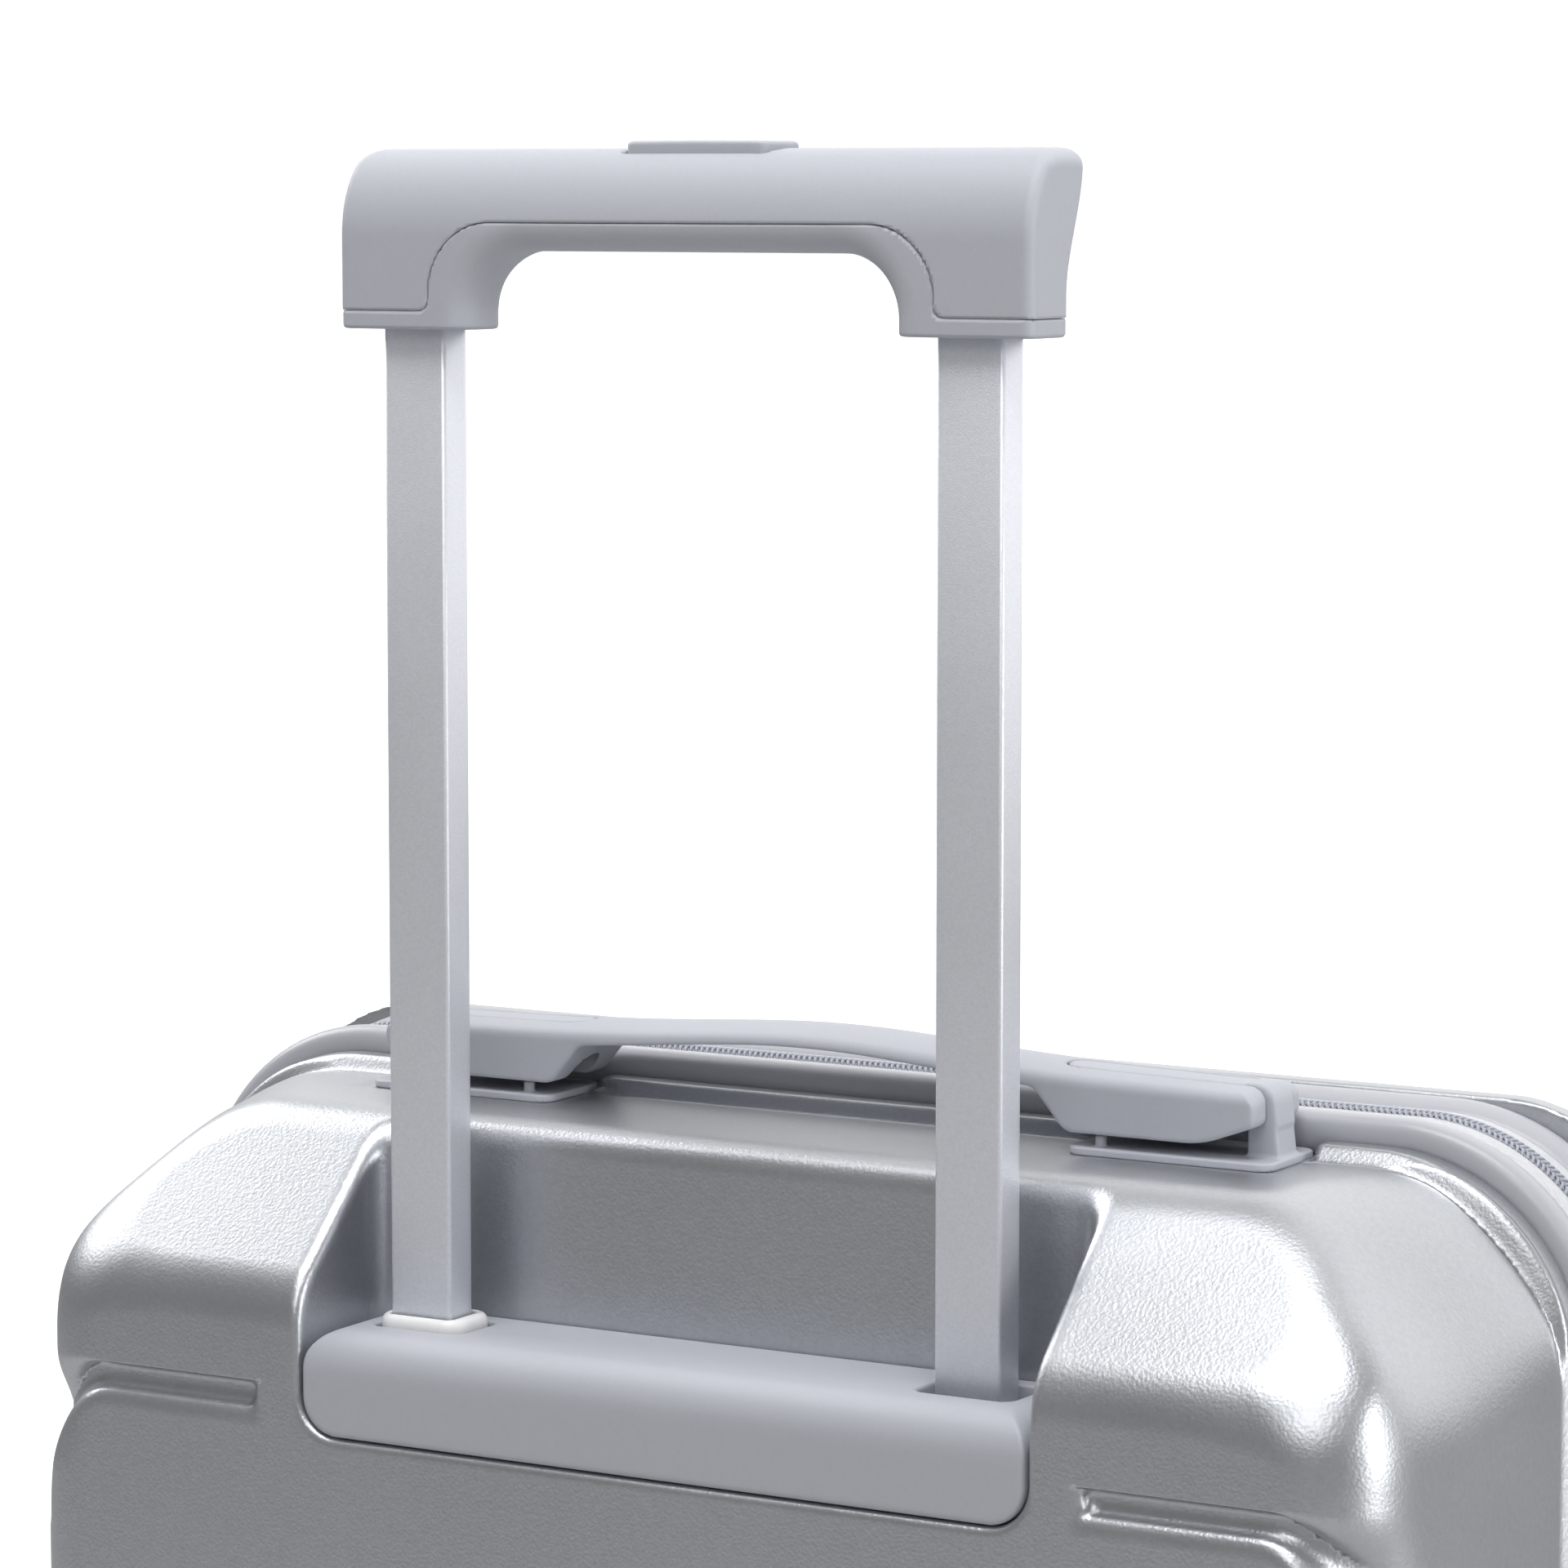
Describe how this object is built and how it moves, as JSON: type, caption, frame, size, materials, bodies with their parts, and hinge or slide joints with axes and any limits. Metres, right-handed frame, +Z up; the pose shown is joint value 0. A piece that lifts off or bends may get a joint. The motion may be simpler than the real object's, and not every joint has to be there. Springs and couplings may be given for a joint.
{
  "type": "hard shell suitcase on wheels",
  "caption": "Cabin-size hard shell suitcase with a telescopic pull handle, carry handle, zip rim, combination lock and swivelling wheels.",
  "frame": {"origin": "centre of the footprint on the floor, with the pull handle half extended", "axes": "+Z up; -Y towards the side with the pull handle; +X towards the side with the lock, -X towards the hinge side"},
  "size_m": [0.3802, 0.222, 0.7535],
  "materials": {
    "silver_shell": "satin metallic silver with a fine leather grain",
    "grey_plastic": "fine matte",
    "piping": "soft satin",
    "alloy": "satin anodised with a fine speckle",
    "steel": "satin",
    "white_plastic": "smooth",
    "dark_plastic": "fine matte",
    "zip_fabric": "woven tape",
    "lining_fabric": "woven polyester",
    "strap_fabric": "ribbed webbing",
    "tyre_rubber": "soft matte"
  },
  "bodies": {
    "case_rear": {"rear_shell": "silver_shell", "rear_piping": "piping", "rear_zip": "zip_fabric", "hinge_strip": "zip_fabric", "base_panel": "grey_plastic", "outer_tubes": "alloy", "bottom_bracket": "dark_plastic", "handle_mount_left": "grey_plastic", "handle_mount_right": "grey_plastic", "handle_screws": "steel", "lock_body": "dark_plastic", "rear_lining": "lining_fabric", "cross_straps": "strap_fabric", "housing_rl": "grey_plastic", "housing_rr": "grey_plastic"},
    "case_front": {"front_shell": "silver_shell", "front_piping": "piping", "front_zip": "zip_fabric", "front_lining": "lining_fabric", "housing_fl": "grey_plastic", "housing_fr": "grey_plastic"},
    "trolley_mid": {"mid_tubes": "alloy", "collars": "white_plastic", "mid_bushes": "dark_plastic"},
    "trolley_inner": {"inner_tubes": "alloy", "latch_blocks": "dark_plastic", "grip_cover": "grey_plastic", "grip_liner": "grey_plastic", "grip_screws": "steel", "release_springs": "steel"},
    "release": {"release_button": "grey_plastic", "release_bar": "dark_plastic", "push_rods": "steel"},
    "carry_handle": {"carry_handle": "grey_plastic", "handle_pins": "steel"},
    "lock_latch": {"lock_latch": "steel"},
    "dial_1": {"lock_dial_1": "steel"},
    "dial_2": {"lock_dial_2": "steel"},
    "dial_3": {"lock_dial_3": "steel"},
    "slider_upper": {"slider_upper": "steel"},
    "slider_lower": {"slider_lower": "steel"},
    "pull_upper": {"pull_upper": "steel"},
    "pull_lower": {"pull_lower": "steel"},
    "caster_rl": {"fork_rl": "grey_plastic", "axle_rl": "steel"},
    "wheel_rl": {"hub_rl": "grey_plastic", "tyre_rl": "tyre_rubber"},
    "caster_rr": {"fork_rr": "grey_plastic", "axle_rr": "steel"},
    "wheel_rr": {"hub_rr": "grey_plastic", "tyre_rr": "tyre_rubber"},
    "caster_fl": {"fork_fl": "grey_plastic", "axle_fl": "steel"},
    "wheel_fl": {"hub_fl": "grey_plastic", "tyre_fl": "tyre_rubber"},
    "caster_fr": {"fork_fr": "grey_plastic", "axle_fr": "steel"},
    "wheel_fr": {"hub_fr": "grey_plastic", "tyre_fr": "tyre_rubber"}
  },
  "joints": [
    {"name": "trolley_lower_stage", "type": "slide", "parent": "case_rear", "child": "trolley_mid", "axis": [0, 0, 1], "range_m": [0, 0.222]},
    {"name": "trolley_upper_stage", "type": "slide", "parent": "trolley_mid", "child": "trolley_inner", "axis": [0, 0, 1], "range_m": [-0.222, 0]},
    {"name": "release_press", "type": "slide", "parent": "trolley_inner", "child": "release", "axis": [0, 0, 1], "range_m": [-0.0025, 0], "stiffness_N_per_m": 500, "springref_m": 0.002, "deforming": ["release_springs"]},
    {"name": "carry_handle_lift", "type": "slide", "parent": "case_rear", "child": "carry_handle", "axis": [0, 0, 1], "range_m": [0, 0.0035]},
    {"name": "shell_open", "type": "hinge", "parent": "case_rear", "child": "case_front", "pos_m": [-0.1895, 0, 0.289], "axis": [0, 0, 1], "range_deg": [0, 180]},
    {"name": "slider_upper_run", "type": "slide", "parent": "case_rear", "child": "slider_upper", "axis": [0, 0, 1], "range_m": [0, 0.14]},
    {"name": "slider_lower_run", "type": "slide", "parent": "case_rear", "child": "slider_lower", "axis": [0, 0, 1], "range_m": [-0.22, 0]},
    {"name": "pull_upper_flip", "type": "hinge", "parent": "slider_upper", "child": "pull_upper", "pos_m": [0.1906, 0, 0.338], "axis": [0, 0, 1], "range_deg": [0, 180]},
    {"name": "pull_lower_flip", "type": "hinge", "parent": "slider_lower", "child": "pull_lower", "pos_m": [0.1906, 0, 0.322], "axis": [0, 0, 1], "range_deg": [0, 180]},
    {"name": "lock_latch_slide", "type": "slide", "parent": "case_rear", "child": "lock_latch", "axis": [0, 0, 1], "range_m": [-0.003, 0], "stiffness_N_per_m": 150, "springref_m": 0.001},
    {"name": "dial_1_turn", "type": "hinge", "parent": "case_rear", "child": "dial_1", "pos_m": [0.1828, -0.035, 0.318], "axis": [0, 0, 1], "continuous": true},
    {"name": "dial_2_turn", "type": "hinge", "parent": "case_rear", "child": "dial_2", "pos_m": [0.1828, -0.035, 0.33], "axis": [0, 0, 1], "continuous": true},
    {"name": "dial_3_turn", "type": "hinge", "parent": "case_rear", "child": "dial_3", "pos_m": [0.1828, -0.035, 0.342], "axis": [0, 0, 1], "continuous": true},
    {"name": "swivel_rl", "type": "hinge", "parent": "case_rear", "child": "caster_rl", "pos_m": [-0.14, -0.076, 0.05], "axis": [0, 0, 1], "continuous": true},
    {"name": "roll_rl", "type": "hinge", "parent": "caster_rl", "child": "wheel_rl", "pos_m": [-0.14, -0.066, 0.023], "axis": [1, 0, 0], "continuous": true},
    {"name": "swivel_rr", "type": "hinge", "parent": "case_rear", "child": "caster_rr", "pos_m": [0.14, -0.076, 0.05], "axis": [0, 0, 1], "continuous": true},
    {"name": "roll_rr", "type": "hinge", "parent": "caster_rr", "child": "wheel_rr", "pos_m": [0.14, -0.066, 0.023], "axis": [1, 0, 0], "continuous": true},
    {"name": "swivel_fl", "type": "hinge", "parent": "case_front", "child": "caster_fl", "pos_m": [-0.14, 0.076, 0.05], "axis": [0, 0, 1], "continuous": true},
    {"name": "roll_fl", "type": "hinge", "parent": "caster_fl", "child": "wheel_fl", "pos_m": [-0.14, 0.086, 0.023], "axis": [1, 0, 0], "continuous": true},
    {"name": "swivel_fr", "type": "hinge", "parent": "case_front", "child": "caster_fr", "pos_m": [0.14, 0.076, 0.05], "axis": [0, 0, 1], "continuous": true},
    {"name": "roll_fr", "type": "hinge", "parent": "caster_fr", "child": "wheel_fr", "pos_m": [0.14, 0.086, 0.023], "axis": [1, 0, 0], "continuous": true}
  ]
}
